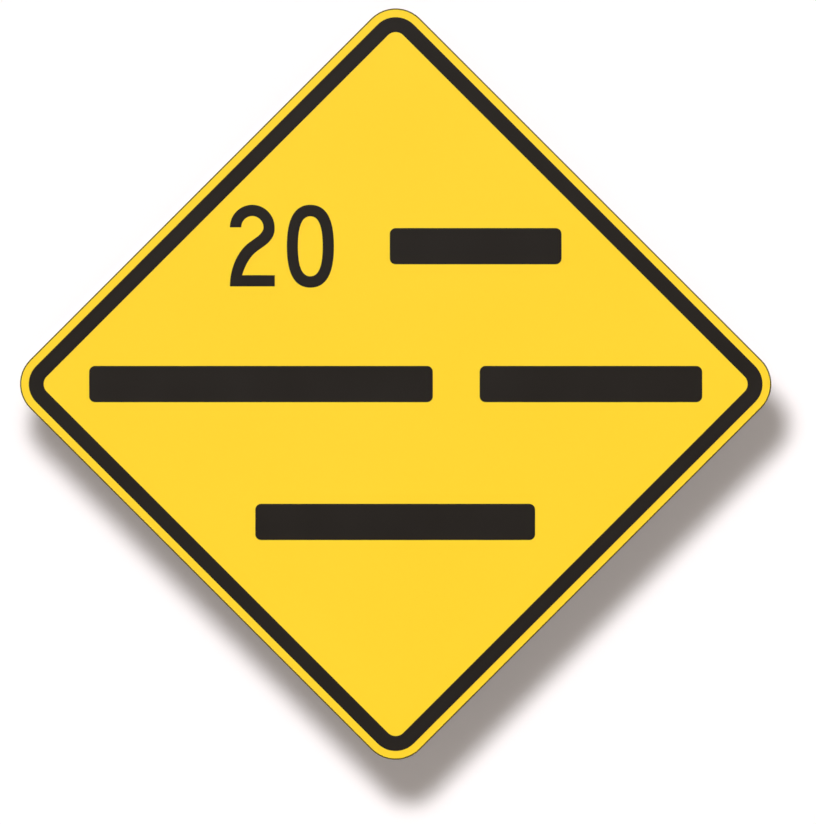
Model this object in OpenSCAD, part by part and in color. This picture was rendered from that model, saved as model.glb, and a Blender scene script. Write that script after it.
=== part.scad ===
/* [Blank] */
// Length of one side of the square blank, measured as if its corners were sharp
side = 609.6; // [450:0.1:920]
// Radius of the blank's four corners
corner_r = 38.1; // [34:0.1:60]
// Thickness of the aluminium sheet
sheet_t = 2.03; // [1.6:0.01:3.2]
// Radius of the rounding along the front and back edges of the sheet
edge_r = 0.4; // [0.2:0.05:0.6]

/* [Sheeting] */
// Thickness of the yellow reflective sheeting with its adhesive
sheeting_t = 0.3; // [0.15:0.05:0.6]
// Strip of flat metal left bare between the sheeting and the rounded edge
rim_w = 1.0; // [0.1:0.05:2]

/* [Border] */
// Distance from the blank's edge to the black border
border_margin = 9.7; // [6:0.1:12]
// Width of the black border
border_w = 16.5; // [12:0.1:20]
// Thickness of the black film that the border is cut from
film_t = 0.1; // [0.05:0.01:0.2]

/* [Hidden] */
$fn = 96;

// Length of the straight stretch between two corner arcs
straight = side - 2 * corner_r;
// Distance from the blank's edge to the sheeting's edge
sheeting_inset = edge_r + rim_w;
// Fronts of the sheet and of the sheeting, measured from the sign's back face
sheet_front = sheet_t;
sheeting_front = sheet_front + sheeting_t;

// Stands a flat shape up as a diamond in the XZ plane, facing -Y, with its
// own z = 0 lying `front` ahead of the sign's back face
module as_diamond(front) {
    rotate([90, 0, 0])
        translate([0, 0, front])
            rotate(45)
                children();
}

// The blank's outline drawn in by `inset`, every corner arc keeping its centre
module outline(inset) {
    width = side - 2 * inset;
    square([width, straight], center = true);
    square([straight, width], center = true);
    for (x = [-1, 1], y = [-1, 1])
        translate([x, y] * straight / 2)
            circle(r = corner_r - inset);
}

// Section of the sheet from x = 0 out to a rim at x = reach, the rim's front
// and back edges rounded
module sheet_section(reach) {
    square([reach - edge_r, sheet_t]);
    translate([0, edge_r])
        square([reach, sheet_t - 2 * edge_r]);
    for (y = [edge_r, sheet_t - edge_r])
        translate([reach - edge_r, y])
            circle(r = edge_r);
}

// Half of a slab as long as a straight stretch, its far side a finished rim
module rimmed_half_slab() {
    translate([0, straight / 2, 0])
        rotate([90, 0, 0])
            linear_extrude(straight)
                sheet_section(side / 2);
}

// Quarter disc that closes one corner between two slabs
module corner_quarter() {
    translate([straight / 2, straight / 2, 0])
        rotate_extrude(angle = 90)
            sheet_section(corner_r);
}

// Flat sheet metal blank: four half slabs that cross in the middle, and a
// quarter disc in each corner
module aluminium_blank() {
    color("silver")
        as_diamond(0)
            for (turn = [0 : 90 : 270])
                rotate(turn) {
                    rimmed_half_slab();
                    corner_quarter();
                }
}

// Reflective sheeting on the blank's face, stopping just short of its edge
module yellow_sheeting() {
    color("gold")
        as_diamond(sheet_front)
            linear_extrude(sheeting_t)
                outline(sheeting_inset);
}

// Black band that follows the edge, its inner and outer arcs concentric with
// the blank's corners
module black_border() {
    color([0.02, 0.018, 0.015])
        as_diamond(sheeting_front)
            linear_extrude(film_t)
                difference() {
                    outline(border_margin);
                    outline(border_margin + border_w);
                }
}

aluminium_blank();
yellow_sheeting();
black_border();
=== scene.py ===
"""Looks of a flat diamond road sign: finishes, face film, stage, lamps and camera."""

from __future__ import annotations

import logging
import math
from dataclasses import dataclass, field
from enum import Enum
from typing import Union

import bpy
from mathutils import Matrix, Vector


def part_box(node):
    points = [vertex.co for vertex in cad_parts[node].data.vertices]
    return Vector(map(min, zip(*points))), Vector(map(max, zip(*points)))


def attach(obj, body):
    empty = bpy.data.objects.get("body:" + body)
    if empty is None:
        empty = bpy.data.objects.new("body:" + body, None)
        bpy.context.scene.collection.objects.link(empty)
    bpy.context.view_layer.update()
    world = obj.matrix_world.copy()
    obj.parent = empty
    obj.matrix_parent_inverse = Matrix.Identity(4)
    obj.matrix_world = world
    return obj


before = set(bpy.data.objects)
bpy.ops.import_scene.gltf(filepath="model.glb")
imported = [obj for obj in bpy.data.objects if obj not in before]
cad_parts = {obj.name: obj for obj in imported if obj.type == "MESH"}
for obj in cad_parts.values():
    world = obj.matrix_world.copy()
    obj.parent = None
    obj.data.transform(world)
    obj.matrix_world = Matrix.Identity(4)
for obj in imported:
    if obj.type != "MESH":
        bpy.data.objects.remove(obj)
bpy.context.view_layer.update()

LOG = logging.getLogger("road_sign")
MM = 0.001
ROOT_BODY = "root"

# Quarter turn that stands a flat piece up, and aims a lamp or camera at the face
QUARTER_TURN = math.radians(90.0)

# Middle of every noise pattern, and the gap under which outline points are joined
MIDWAY = 0.5
WELD_GAP = 0.005 * MM

# Numbers of the sockets that a Mix node of colours uses, because their names repeat
MIX_FACTOR = 0
MIX_FIRST = 6
MIX_SECOND = 7
MIX_RESULT = 2

Rgb = tuple[float, float, float]
Input = Union["Socket", float, Rgb]

WHITE: Rgb = (1.0, 1.0, 1.0)


class Slot(Enum):
    """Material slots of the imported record."""

    BARE_ALUMINIUM = "bare_aluminium"
    YELLOW_SHEETING = "yellow_sheeting"
    BLACK_FILM = "black_film"


class SheetPart(Enum):
    """CAD nodes of the sign, with the slot that each one is dressed from."""

    BLANK = ("aluminium_blank", Slot.BARE_ALUMINIUM)
    SHEETING = ("yellow_sheeting", Slot.YELLOW_SHEETING)
    BORDER = ("black_border", Slot.BLACK_FILM)

    @property
    def node(self) -> str:
        """Name of the CAD node."""
        return self.value[0]

    @property
    def slot(self) -> Slot:
        """Slot that the node takes its finish from."""
        return self.value[1]


# Shader maths


@dataclass(frozen=True)
class Socket:
    """A shader output that takes part in Python expressions."""

    bench: "NodeBench"
    out: bpy.types.NodeSocket

    def _math(self, operation: str, *terms: Input) -> "Socket":
        """Adds one Math node.

        Args:
            operation: The Math node's operation.
            *terms: Its inputs in order.

        Returns:
            The node's result.
        """
        inputs = dict(enumerate(terms))
        node = self.bench.node("ShaderNodeMath", {"operation": operation}, inputs)
        return Socket(self.bench, node.outputs[0])

    def __add__(self, other: Input) -> "Socket":
        """Sum."""
        return self._math("ADD", self, other)

    def __radd__(self, other: Input) -> "Socket":
        """Sum with a number on the left."""
        return self._math("ADD", other, self)

    def __sub__(self, other: Input) -> "Socket":
        """Difference."""
        return self._math("SUBTRACT", self, other)

    def __rsub__(self, other: Input) -> "Socket":
        """Difference with a number on the left."""
        return self._math("SUBTRACT", other, self)

    def __mul__(self, other: Input) -> "Socket":
        """Product."""
        return self._math("MULTIPLY", self, other)

    def __rmul__(self, other: Input) -> "Socket":
        """Product with a number on the left."""
        return self._math("MULTIPLY", other, self)

    def __abs__(self) -> "Socket":
        """Size without its sign."""
        return self._math("ABSOLUTE", self)

    def __pow__(self, power: Input) -> "Socket":
        """Power."""
        return self._math("POWER", self, power)

    def highest(self, other: Input) -> "Socket":
        """The larger of two values."""
        return self._math("MAXIMUM", self, other)

    def lowest(self, other: Input) -> "Socket":
        """The smaller of two values."""
        return self._math("MINIMUM", self, other)

    def ramp(self, start: float, end: float) -> "Socket":
        """Rises smoothly from 0 at start to 1 at end.

        Args:
            start: Value where the rise begins.
            end: Value where it is complete.

        Returns:
            The eased mask, held between 0 and 1.
        """
        settings = {"interpolation_type": "SMOOTHSTEP"}
        inputs = {"Value": self, "From Min": start, "From Max": end}
        node = self.bench.node("ShaderNodeMapRange", settings, inputs)
        return Socket(self.bench, node.outputs["Result"])


@dataclass(frozen=True)
class NodeBench:
    """One node tree, and the only place where its nodes are made."""

    tree: bpy.types.NodeTree

    def node(
        self,
        kind: str,
        settings: dict[str, object] | None = None,
        inputs: dict[str | int, Input] | None = None,
    ) -> bpy.types.Node:
        """Adds a node, sets it up and feeds its sockets.

        Args:
            kind: Blender's type name of the node.
            settings: Properties, set before anything is linked.
            inputs: Value or link of each socket, by name or number.

        Returns:
            The new node.
        """
        made = self.tree.nodes.new(kind)
        for name, value in (settings or {}).items():
            setattr(made, name, value)
        for key, value in (inputs or {}).items():
            self._feed(made.inputs[key], value)
        return made

    def _feed(self, socket: bpy.types.NodeSocket, value: Input) -> None:
        """Links a socket, or sets its value.

        Args:
            socket: The input to feed.
            value: A link, a number or a colour.
        """
        if isinstance(value, Socket):
            self.tree.links.new(value.out, socket)
        elif isinstance(value, tuple) and socket.type == "RGBA":
            socket.default_value = (*value, 1.0)
        else:
            socket.default_value = value

    def out(self, node: bpy.types.Node, name: str | int = 0) -> Socket:
        """One output of a node, ready for maths."""
        return Socket(self, node.outputs[name])

    def place(self) -> Socket:
        """Place on the piece, in metres."""
        return self.out(self.node("ShaderNodeTexCoord"), "Object")

    def noise(self, place: Socket, scale: float, detail: float = 2.0) -> Socket:
        """Smooth random pattern around 0.5.

        Args:
            place: Where the pattern is read.
            scale: Blobs to a unit of place.
            detail: Finer layers added on top.

        Returns:
            The pattern's value.
        """
        inputs = {"Vector": place, "Scale": scale, "Detail": detail}
        return self.out(self.node("ShaderNodeTexNoise", None, inputs), 0)

    def turned(
        self,
        place: Socket,
        turn: float,
        scale: tuple[float, float, float] = (1.0, 1.0, 1.0),
    ) -> Socket:
        """Place turned about Y and stretched.

        Args:
            place: Where it is read.
            turn: Angle about Y in radians.
            scale: Stretch along each turned axis.

        Returns:
            The mapped place.
        """
        level = self.node(
            "ShaderNodeMapping",
            {"vector_type": "POINT"},
            {"Vector": place, "Rotation": (0.0, turn, 0.0)},
        )
        stretch = self.node(
            "ShaderNodeMapping",
            {"vector_type": "POINT"},
            {"Vector": self.out(level), "Scale": scale},
        )
        return self.out(stretch)

    def axes(self, place: Socket) -> tuple[Socket, Socket, Socket]:
        """The three parts of a vector."""
        split = self.node("ShaderNodeSeparateXYZ", None, {"Vector": place})
        return self.out(split, "X"), self.out(split, "Y"), self.out(split, "Z")

    def blend(self, factor: Input, first: Input, second: Input) -> Socket:
        """Mixes two colours.

        Args:
            factor: 0 gives the first and 1 the second.
            first: Colour at 0.
            second: Colour at 1.

        Returns:
            The mixed colour.
        """
        inputs = {MIX_FACTOR: factor, MIX_FIRST: first, MIX_SECOND: second}
        node = self.node("ShaderNodeMix", {"data_type": "RGBA"}, inputs)
        return self.out(node, MIX_RESULT)

    def bump(self, height: Socket, strength: float, depth: float) -> Socket:
        """Turns a height into a surface normal.

        Args:
            height: Pattern between 0 and 1.
            strength: Share of the effect that is kept.
            depth: Height in metres that a value of 1 stands for.

        Returns:
            The bent normal.
        """
        inputs = {"Height": height, "Strength": strength, "Distance": depth}
        return self.out(self.node("ShaderNodeBump", None, inputs), "Normal")


def surface_bench(name: str) -> tuple[bpy.types.Material, NodeBench]:
    """Starts a material with an empty node tree.

    Args:
        name: The material's name.

    Returns:
        The material and the bench that its nodes are made on.
    """
    material = bpy.data.materials.new(name)
    material.use_nodes = True
    material.node_tree.nodes.clear()
    return material, NodeBench(material.node_tree)


def shade(bench: NodeBench, inputs: dict[str | int, Input]) -> None:
    """Ends a material in one Principled shader.

    Args:
        bench: The material's bench.
        inputs: Values and links of the shader's sockets.
    """
    shader = bench.node("ShaderNodeBsdfPrincipled", None, inputs)
    bench.node("ShaderNodeOutputMaterial", None, {"Surface": bench.out(shader)})


def tint(colour: Rgb, factor: float) -> Rgb:
    """A colour made lighter or darker by a factor."""
    return tuple(part * factor for part in colour)


def drifting(middle: float, pattern: Socket, reach: float) -> Socket:
    """A value that wanders about its middle.

    Args:
        middle: The value where the pattern is midway.
        pattern: Smooth pattern between 0 and 1.
        reach: Most that the value wanders either way.

    Returns:
        The wandering value.
    """
    return middle + 2 * reach * (pattern - MIDWAY)


# Finishes


@dataclass(frozen=True)
class SheetingFinish:
    """Yellow retroreflective film: tiny glass beads under a smooth clear top."""

    colour: Rgb = (0.985, 0.65, 0.0138)
    roughness: float = 0.36
    roughness_drift: float = 0.04
    specular_level: float = 0.36
    tone_drift: float = 0.008
    tone_start: float = 0.35
    tone_end: float = 0.65
    bead_scale: float = 1500.0
    bead_share: float = 0.5
    cloud_scale: float = 5.0
    peel_scale: float = 260.0
    peel_detail: float = 1.0
    peel_strength: float = 0.35
    peel_depth: float = 0.03 * MM

    def material(self) -> bpy.types.Material:
        """Builds the finish."""
        material, bench = surface_bench("yellow_reflective_sheeting")
        place = bench.place()
        beads = bench.noise(place, self.bead_scale)
        clouds = bench.noise(place, self.cloud_scale)
        mottle = beads * self.bead_share + clouds * (1 - self.bead_share)
        tone = bench.blend(
            mottle.ramp(self.tone_start, self.tone_end),
            tint(self.colour, 1 - self.tone_drift),
            tint(self.colour, 1 + self.tone_drift),
        )
        peel = bench.noise(place, self.peel_scale, self.peel_detail)
        shade(
            bench,
            {
                "Base Color": tone,
                "Roughness": drifting(self.roughness, clouds, self.roughness_drift),
                "Specular IOR Level": self.specular_level,
                "Normal": bench.bump(peel, self.peel_strength, self.peel_depth),
            },
        )
        return material


@dataclass(frozen=True)
class FilmFinish:
    """Warm black cut film with a quiet gloss."""

    colour: Rgb = (0.0145, 0.0105, 0.0075)
    roughness: float = 0.34
    roughness_drift: float = 0.05
    specular_level: float = 0.2
    tone_drift: float = 0.06
    cloud_scale: float = 14.0
    peel_scale: float = 320.0
    peel_detail: float = 1.0
    peel_strength: float = 0.3
    peel_depth: float = 0.02 * MM

    def material(self) -> bpy.types.Material:
        """Builds the finish."""
        material, bench = surface_bench("black_cut_film")
        place = bench.place()
        clouds = bench.noise(place, self.cloud_scale)
        peel = bench.noise(place, self.peel_scale, self.peel_detail)
        tone = bench.blend(
            clouds,
            tint(self.colour, 1 - self.tone_drift),
            tint(self.colour, 1 + self.tone_drift),
        )
        shade(
            bench,
            {
                "Base Color": tone,
                "Roughness": drifting(self.roughness, clouds, self.roughness_drift),
                "Specular IOR Level": self.specular_level,
                "Normal": bench.bump(peel, self.peel_strength, self.peel_depth),
            },
        )
        return material


@dataclass(frozen=True)
class AluminiumFinish:
    """Mill finish sheet, its rolling grain along one side, with a dulled cut edge whose
    strip is painted dark as painted shade.
    """

    colour: Rgb = (0.62, 0.63, 0.64)
    # Colour of the strip at the cut edge: painted shade, a dark line round the sign's
    # edge that no lamp casts
    edge_shade_colour: Rgb = (0.085, 0.062, 0.001)
    roughness: float = 0.34
    edge_dulling: float = 0.5
    edge_fade: float = 0.05 * MM
    corner_radius: float = 38.1 * MM
    grain_turn: float = math.radians(45.0)
    grain_along: float = 2.5
    grain_across: float = 700.0
    grain_detail: float = 4.0
    grain_start: float = 0.3
    grain_end: float = 0.7
    grain_dark: float = 0.93
    grain_light: float = 1.05
    grain_wear: float = 0.22
    grain_strength: float = 0.4
    grain_depth: float = 0.015 * MM
    smudge_scale: float = 7.0
    smudge_detail: float = 3.0
    smudge_wear: float = 0.16

    def _edge(
        self, bench: NodeBench, place: Socket, half_side: float, strip: float
    ) -> Socket:
        """Mask of the cut edge and the bare strip beside it.

        Args:
            bench: The material's bench.
            place: Place on the blank.
            half_side: Half of one side of the blank.
            strip: Width of the bare strip, the edge's rounding with it.

        Returns:
            1 within the strip's width of the outline, and 0 further in.
        """
        level = bench.turned(place, self.grain_turn)
        along, _, across = bench.axes(level)
        straight = half_side - self.corner_radius
        past_x, past_z = abs(along) - straight, abs(across) - straight
        corner = (past_x.highest(0.0) ** 2 + past_z.highest(0.0) ** 2) ** 0.5
        inner = past_x.highest(past_z).lowest(0.0)
        inset = self.corner_radius - corner - inner
        return 1 - inset.ramp(strip, strip + self.edge_fade)

    def material(self, half_side: float, strip: float) -> bpy.types.Material:
        """Builds the finish.

        Args:
            half_side: Half of one side of the blank.
            strip: Width of the bare strip round the sheeting.

        Returns:
            The material.
        """
        material, bench = surface_bench("mill_finish_aluminium")
        place = bench.place()
        stretch = (self.grain_along, self.grain_along, self.grain_across)
        stretched = bench.turned(place, self.grain_turn, stretch)
        grain = bench.noise(stretched, 1.0, self.grain_detail)
        smudges = bench.noise(place, self.smudge_scale, self.smudge_detail)
        edge = self._edge(bench, place, half_side, strip)
        sheet = bench.blend(
            grain.ramp(self.grain_start, self.grain_end),
            tint(self.colour, self.grain_dark),
            tint(self.colour, self.grain_light),
        )
        worn_grain = (grain - MIDWAY) * self.grain_wear
        worn = worn_grain + (smudges - MIDWAY) * self.smudge_wear
        shade(
            bench,
            {
                # The edge strip takes the dark colour, painted shade round the sign's
                # edge, in place of the grey metal
                "Base Color": bench.blend(edge, sheet, self.edge_shade_colour),
                "Metallic": 1 - edge,
                "Roughness": self.roughness + worn + edge * self.edge_dulling,
                "Normal": bench.bump(grain, self.grain_strength, self.grain_depth),
            },
        )
        return material


# Face film


def clear_selection() -> None:
    """Deselects everything, so that an operator acts on the new piece alone."""
    bpy.ops.object.select_all(action="DESELECT")


@dataclass(frozen=True)
class FilmLayer:
    """The layer of black film on the sheeting: its back, its front and its material."""

    back: float
    front: float
    material: bpy.types.Material

    def thicken(self, piece: bpy.types.Object) -> None:
        """Extrudes a flat piece in the XZ plane into a closed piece of film.

        Args:
            piece: The active mesh object, flat at y = 0 and already in its place.
        """
        bpy.ops.object.mode_set(mode="EDIT")
        bpy.ops.mesh.select_all(action="SELECT")
        bpy.ops.mesh.remove_doubles(threshold=WELD_GAP)
        bpy.ops.transform.translate(value=(0.0, self.back, 0.0))
        bpy.ops.mesh.extrude_region_move(
            TRANSFORM_OT_translate={"value": (0.0, self.front - self.back, 0.0)}
        )
        bpy.ops.mesh.select_all(action="SELECT")
        bpy.ops.mesh.normals_make_consistent(inside=False)
        bpy.ops.object.mode_set(mode="OBJECT")
        piece.data.materials.clear()
        piece.data.materials.append(self.material)
        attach(piece, ROOT_BODY)
        LOG.info("film piece %s: %d faces", piece.name, len(piece.data.polygons))


@dataclass(frozen=True)
class Step:
    """One step along a numeral's outline, in millimetres.

    A step with no corner is straight. Otherwise it is an arc drawn out towards its
    corner, part of an ellipse at the usual tightness and squarer above it.
    """

    x: float
    y: float
    corner: tuple[float, float] | None = None
    tightness: float = 0.5523


# Outlines of the numerals, in millimetres from their left edge and baseline

TWO_OUTLINE = (
    Step(0.0, 0.0),
    Step(49.7, 0.0),
    Step(49.7, 12.4),
    Step(13.6, 12.4),
    Step(31.5, 40.0, (19.3, 31.5), 0.67),
    Step(37.5, 44.2),
    Step(49.55, 63.5, (49.55, 52.7), 0.65),
    Step(49.55, 65.0),
    Step(24.8, 90.2, (49.55, 90.2)),
    Step(0.0, 65.28, (0.0, 90.2)),
    Step(12.6, 65.28),
    Step(24.8, 77.75, (12.6, 77.75)),
    Step(37.15, 65.0, (37.15, 77.75)),
    Step(30.0, 54.7, (37.1, 59.8), 0.6),
    Step(21.5, 48.6),
    Step(0.0, 0.0, (0.0, 33.1), 0.6),
)


def ring(left: float, right: float, low: float, high: float) -> tuple[Step, ...]:
    """A closed, slightly squared oval.

    Args:
        left: Lowest x.
        right: Highest x.
        low: Lowest y.
        high: Highest y.

    Returns:
        The steps round it, the first of them its start.
    """
    middle_x, middle_y = (left + right) / 2, (low + high) / 2
    squareness = 0.67
    return (
        Step(right, middle_y),
        Step(middle_x, high, (right, high), squareness),
        Step(left, middle_y, (left, high), squareness),
        Step(middle_x, low, (left, low), squareness),
        Step(right, middle_y, (right, low), squareness),
    )


NOUGHT_OUTLINES = (ring(0.0, 52.1, -1.4, 90.2), ring(12.25, 39.65, 11.1, 77.5))


@dataclass(frozen=True)
class Numeral:
    """A plain numeral cut from film, its place in millimetres."""

    name: str
    left: float
    baseline: float
    outlines: tuple[tuple[Step, ...], ...]
    resolution: int = 16

    def _handle(self, knot: Step, step: Step) -> Vector:
        """Where a step's curve handle at one of its ends lies.

        Args:
            knot: The end.
            step: The step that the handle shapes.

        Returns:
            The handle's place in the flat outline.
        """
        end = Vector((knot.x, knot.y, 0.0))
        if step.corner is None:
            return end * MM
        corner = Vector((*step.corner, 0.0))
        return end.lerp(corner, step.tightness) * MM

    def _draw(self, curve: bpy.types.Curve, steps: tuple[Step, ...]) -> None:
        """Adds one closed outline to a flat curve.

        Args:
            curve: The curve's data.
            steps: Steps round the outline, the last of them back at its start.
        """
        knots, arrivals = steps[:-1], (steps[-1], *steps[1:-1])
        departures = steps[1:]
        spline = curve.splines.new("BEZIER")
        spline.bezier_points.add(len(knots) - 1)
        spline.use_cyclic_u = True
        trio = zip(knots, arrivals, departures)
        for point, (knot, arriving, leaving) in zip(spline.bezier_points, trio):
            point.co = Vector((knot.x, knot.y, 0.0)) * MM
            point.handle_left_type = "FREE" if arriving.corner else "VECTOR"
            point.handle_right_type = "FREE" if leaving.corner else "VECTOR"
            point.handle_left = self._handle(knot, arriving)
            point.handle_right = self._handle(knot, leaving)

    def build(self, layer: FilmLayer) -> None:
        """Draws the numeral as a flat curve and makes it a piece of film.

        Args:
            layer: The film layer it belongs to.
        """
        clear_selection()
        bpy.ops.curve.primitive_bezier_curve_add(location=(0.0, 0.0, 0.0))
        piece = bpy.context.object
        piece.name = self.name
        curve = piece.data
        curve.splines.clear()
        curve.dimensions = "2D"
        curve.fill_mode = "BOTH"
        curve.resolution_u = self.resolution
        for outline in self.outlines:
            self._draw(curve, outline)
        bpy.ops.object.convert(target="MESH")
        piece = bpy.context.object
        piece.rotation_euler = (QUARTER_TURN, 0.0, 0.0)
        piece.location = (self.left * MM, 0.0, self.baseline * MM)
        bpy.ops.object.transform_apply(location=True, rotation=True, scale=True)
        layer.thicken(piece)


@dataclass(frozen=True)
class PlainBar:
    """A plain bar of film at the middle height of its line, in millimetres."""

    name: str
    left: float
    right: float
    baseline: float
    line_height: float = 88.9
    height: float = 40.0
    corner_radius: float = 6.5
    corner_segments: int = 8

    def build(self, layer: FilmLayer) -> None:
        """Shapes the bar from a plane.

        Args:
            layer: The film layer it belongs to.
        """
        clear_selection()
        middle_x = (self.left + self.right) / 2
        middle_z = self.baseline + self.line_height / 2
        bpy.ops.mesh.primitive_plane_add(
            size=1.0,
            location=(middle_x * MM, 0.0, middle_z * MM),
            rotation=(QUARTER_TURN, 0.0, 0.0),
        )
        piece = bpy.context.object
        piece.name = self.name
        piece.scale = ((self.right - self.left) * MM, self.height * MM, 1.0)
        bpy.ops.object.transform_apply(location=True, rotation=True, scale=True)
        bpy.ops.object.mode_set(mode="EDIT")
        bpy.ops.mesh.select_all(action="SELECT")
        bpy.ops.mesh.bevel(
            offset=self.corner_radius * MM,
            segments=self.corner_segments,
            affect="VERTICES",
        )
        bpy.ops.object.mode_set(mode="OBJECT")
        layer.thicken(piece)


@dataclass(frozen=True)
class FacePrint:
    """What stands on the yellow field: a plain number and four plain bars.

    The three lines are the baselines, in millimetres above the sign's middle.
    """

    top_line: float = 107.95
    middle_line: float = -44.45
    bottom_line: float = -196.85

    def build(self, layer: FilmLayer) -> None:
        """Builds every piece of the print in its place.

        Args:
            layer: The film layer that they all belong to.
        """
        top, middle, bottom = self.top_line, self.middle_line, self.bottom_line
        shapes = (
            Numeral("numeral_2", left=-183.25, baseline=top, outlines=(TWO_OUTLINE,)),
            Numeral("numeral_0", left=-120.28, baseline=top, outlines=NOUGHT_OUTLINES),
            PlainBar("top_bar", left=-6.49, right=183.34, baseline=top),
            PlainBar("middle_left_bar", left=-338.79, right=41.13, baseline=middle),
            PlainBar("middle_right_bar", left=92.83, right=338.87, baseline=middle),
            PlainBar("bottom_bar", left=-155.14, right=154.21, baseline=bottom),
        )
        for shape in shapes:
            shape.build(layer)


# The sheet parts


@dataclass
class SignPanel:
    """The CAD parts of the sign, dressed in their finishes."""

    aluminium: AluminiumFinish = AluminiumFinish()
    sheeting: SheetingFinish = SheetingFinish()
    film: FilmFinish = FilmFinish()
    materials: dict[Slot, bpy.types.Material] = field(default_factory=dict)

    def _half_side(self) -> float:
        """Half of the blank's side, from the reach of its rounded corners."""
        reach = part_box(SheetPart.BLANK.node)[1].x
        radius = self.aluminium.corner_radius
        return (reach - radius) / math.sqrt(2) + radius

    def _bare_strip(self) -> float:
        """Width of the strip between the sheeting's edge and the blank's."""
        blank_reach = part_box(SheetPart.BLANK.node)[1].x
        return blank_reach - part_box(SheetPart.SHEETING.node)[1].x

    def dress(self) -> None:
        """Gives each CAD node its finish through its material slot."""
        bare_metal = self.aluminium.material(self._half_side(), self._bare_strip())
        self.materials = {
            Slot.BARE_ALUMINIUM: bare_metal,
            Slot.YELLOW_SHEETING: self.sheeting.material(),
            Slot.BLACK_FILM: self.film.material(),
        }
        for part in SheetPart:
            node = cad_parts[part.node]
            node.material_slots[0].material = self.materials[part.slot]
            LOG.info("CAD node %s: %s", part.node, self.materials[part.slot].name)

    def film_layer(self) -> FilmLayer:
        """The layer that the border lies in, for the rest of the face film."""
        return FilmLayer(
            back=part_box(SheetPart.SHEETING.node)[0].y,
            front=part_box(SheetPart.BORDER.node)[0].y,
            material=self.materials[Slot.BLACK_FILM],
        )


# Stage, lamps and camera


@dataclass(frozen=True)
class StageFinish:
    """Pale matt finish that only the camera sees, and only from the front.

    The lift is a glow in the same colour that evens out what the lamps leave dim.
    """

    name: str
    colour: Rgb
    lift: float

    def material(self) -> bpy.types.Material:
        """Builds the finish."""
        material, bench = surface_bench(self.name)
        rays = bench.node("ShaderNodeLightPath")
        surface = bench.node("ShaderNodeNewGeometry")
        seen = bench.out(rays, "Is Camera Ray") * (1 - bench.out(surface, "Backfacing"))
        matt = bench.node("ShaderNodeBsdfDiffuse", None, {"Color": self.colour})
        glow = bench.node(
            "ShaderNodeEmission", None, {"Color": self.colour, "Strength": self.lift}
        )
        lit = bench.node(
            "ShaderNodeAddShader", None, {0: bench.out(matt), 1: bench.out(glow)}
        )
        clear = bench.node("ShaderNodeBsdfTransparent")
        mixed = bench.node(
            "ShaderNodeMixShader",
            None,
            {0: seen, 1: bench.out(clear), 2: bench.out(lit)},
        )
        bench.node("ShaderNodeOutputMaterial", None, {"Surface": bench.out(mixed)})
        return material


@dataclass(frozen=True)
class Stage:
    """A white wall close behind the sign and a pale floor under it."""

    wall_gap: float = 0.08
    floor_level: float = -0.53
    reach: float = 3.0
    wall_lift: float = 0.036
    floor_lift: float = 0.24
    wall_colour: Rgb = (0.9975, 0.937, 0.933)
    floor_colour: Rgb = (0.985, 0.992, 1.0)

    def _sheet(self, place: Vector, turn: float, finish: StageFinish) -> None:
        """Adds one flat stage surface.

        Args:
            place: Its centre.
            turn: Angle about X in radians.
            finish: Its finish, which it is named after.
        """
        clear_selection()
        bpy.ops.mesh.primitive_plane_add(
            size=2 * self.reach, location=place, rotation=(turn, 0.0, 0.0)
        )
        sheet = bpy.context.object
        sheet.name = finish.name
        sheet.data.materials.append(finish.material())
        LOG.info("stage %s", sheet.name)

    def build(self) -> None:
        """Adds the wall and the floor."""
        wall_middle = Vector((0.0, self.wall_gap, self.floor_level + self.reach))
        wall = StageFinish("white_wall", self.wall_colour, self.wall_lift)
        self._sheet(wall_middle, QUARTER_TURN, wall)
        floor_middle = Vector((0.0, 0.0, self.floor_level))
        floor = StageFinish("pale_floor", self.floor_colour, self.floor_lift)
        self._sheet(floor_middle, 0.0, floor)


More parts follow.
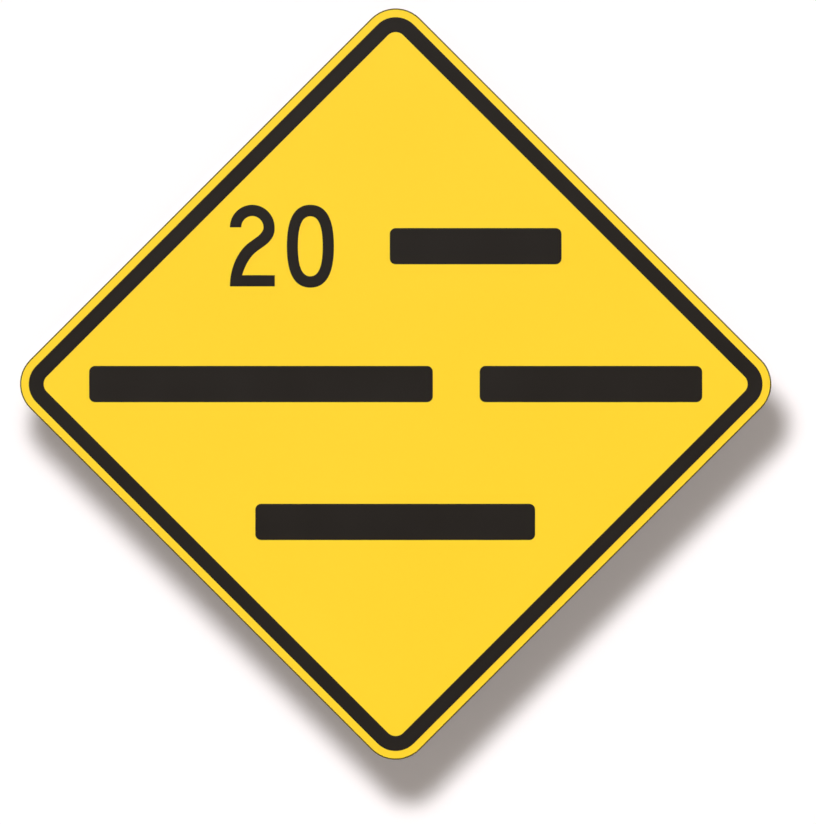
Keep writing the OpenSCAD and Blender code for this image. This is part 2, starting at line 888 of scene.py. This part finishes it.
@dataclass(frozen=True)
class StudioLight:
    """One broad key from the upper left, and an even surround.

    The shadow's shift, growth and softness are as it falls on the wall, and the
    lamp's place and size follow from them. The level is the light of the key and
    the surround together.

    gloss_front and gloss_back are how bright a polished surface sees the surround
    in front of the sign and behind it, and one passes into the other between
    gloss_start and gloss_end. At low_gloss_height and below, that brightness is
    dimmed to low_gloss of itself, and at full_gloss_height it isn't dimmed. A
    start, an end or a height here is a part of the ray's direction, from -1 to 1.

    metal_return is how much brighter than the surround a mirrored ray sees it
    after a matt surface, so that the sign's back neither brightens nor darkens
    the shadow.
    """

    shadow_right: float = 15.2 * MM
    shadow_down: float = 44.2 * MM
    shadow_growth: float = 0.014
    shadow_softness: float = 28.4 * MM
    fade_power: float = 3.0
    level: float = 1.04
    surround: Rgb = (0.314, 0.2965, 0.2735)
    gloss_front: float = 0.12
    gloss_back: float = 0.95
    gloss_start: float = -0.85
    gloss_end: float = 0.2
    low_gloss: float = 0.75
    low_gloss_height: float = -0.5
    full_gloss_height: float = 0.8
    metal_return: float = 1.6

    def _key(self, wall_gap: float) -> None:
        """Adds the key lamp, its shadow shifted as measured.

        The energy gives a white surface in the sign's plane a brightness of 1
        before the lamp's colour.

        Args:
            wall_gap: Distance from the sign's back to the wall.
        """
        travel = Vector((self.shadow_right, wall_gap, -self.shadow_down))
        place = travel / -self.shadow_growth
        radius = self.shadow_softness / self.shadow_growth
        clear_selection()
        bpy.ops.object.light_add(type="AREA", location=place)
        lamp = bpy.context.object
        lamp.name = "key_light"
        lamp.visible_camera = False
        lamp.data.shape = "DISK"
        lamp.data.size = 2 * radius
        lamp.data.color = [self.level - part for part in self.surround]
        lamp.data.energy = (math.pi / place.y) ** 2
        lamp.rotation_euler = (QUARTER_TURN, 0.0, 0.0)
        self._shape_glow(lamp.data, place, radius)

    def _shape_glow(
        self, light: bpy.types.AreaLight, place: Vector, radius: float
    ) -> None:
        """Fades the lamp towards its rim, and lights the sign's plane evenly.

        The fading gives the shadow the soft edge of a large diffuser. The lamp
        faces the sign's plane squarely, so what reaches the plane from a spot of
        the lamp thins with the fourth power of their distance, both slants
        counted, and the strength grows with that power.

        Args:
            light: The lamp's data.
            place: The lamp's centre.
            radius: The lamp's radius.
        """
        light.use_nodes = True
        light.node_tree.nodes.clear()
        bench = NodeBench(light.node_tree)
        spot = bench.out(bench.node("ShaderNodeNewGeometry"), "Position")
        offset = bench.node(
            "ShaderNodeVectorMath",
            {"operation": "DISTANCE"},
            {0: spot, 1: tuple(place)},
        )
        reach = bench.out(offset, "Value") * (1 / radius)
        fade = (1 - reach**2).highest(0.0) ** self.fade_power
        falloff = bench.node("ShaderNodeLightFalloff", None, {"Strength": 1.0})
        distance_squared = bench.out(falloff, "Constant")
        strength = fade * (self.fade_power + 1) * distance_squared**2
        glow = bench.node("ShaderNodeEmission", None, {"Strength": strength})
        bench.node("ShaderNodeOutputLight", None, {"Surface": bench.out(glow)})

    def _surround(self) -> None:
        """Makes the world: white to the camera, graded to gloss, even as a light."""
        world = bpy.data.worlds.new("studio")
        world.use_nodes = True
        world.node_tree.nodes.clear()
        bpy.context.scene.world = world
        bench = NodeBench(world.node_tree)
        rays = bench.node("ShaderNodeLightPath")
        towards = bench.out(bench.node("ShaderNodeTexCoord"), "Generated")
        _, depth, height = bench.axes(towards)
        span = self.gloss_back - self.gloss_front
        gloss = self.gloss_front + depth.ramp(self.gloss_start, self.gloss_end) * span
        rise = height.ramp(self.low_gloss_height, self.full_gloss_height)
        gloss = gloss * (self.low_gloss + rise * (1 - self.low_gloss))
        camera = bench.out(rays, "Is Camera Ray")
        mirrored = bench.out(rays, "Is Glossy Ray").highest(
            bench.out(rays, "Is Transmission Ray")
        )
        from_matt = bench.out(rays, "Diffuse Depth").lowest(1.0)
        shiny = mirrored * (1 - from_matt)
        plain = 1 + mirrored * from_matt * (self.metal_return - 1)
        shown = camera.highest(shiny)
        strength = camera + (1 - camera) * (shiny * gloss + (1 - shiny) * plain)
        colour = bench.blend(shown, self.surround, WHITE)
        inputs = {"Color": colour, "Strength": strength}
        background = bench.node("ShaderNodeBackground", None, inputs)
        bench.node("ShaderNodeOutputWorld", None, {"Surface": bench.out(background)})

    def build(self, wall_gap: float) -> None:
        """Adds the lamp and the surround.

        Args:
            wall_gap: Distance from the sign's back to the wall.
        """
        self._key(wall_gap)
        self._surround()
        LOG.info("lamps ready")


@dataclass(frozen=True)
class SquareOnCamera:
    """Parallel camera that looks straight at the face."""

    middle_x: float = 13.65 * MM
    middle_z: float = -30.89 * MM
    distance: float = 3.0
    long_side: float = 0.9108

    def build(self) -> None:
        """Adds the camera and makes it the scene's own."""
        clear_selection()
        bpy.ops.object.camera_add(
            location=(self.middle_x, -self.distance, self.middle_z),
            rotation=(QUARTER_TURN, 0.0, 0.0),
        )
        camera = bpy.context.object
        camera.name = "square_on_camera"
        camera.data.type = "ORTHO"
        camera.data.ortho_scale = self.long_side
        bpy.context.scene.camera = camera
        LOG.info("camera ready")


def main() -> None:
    """Builds the looks in order."""
    logging.basicConfig(level=logging.INFO)
    bpy.context.scene.view_settings.view_transform = "Standard"
    panel = SignPanel()
    panel.dress()
    FacePrint().build(panel.film_layer())
    stage = Stage()
    stage.build()
    StudioLight().build(stage.wall_gap)
    SquareOnCamera().build()


if __name__ == "__main__":
    main()
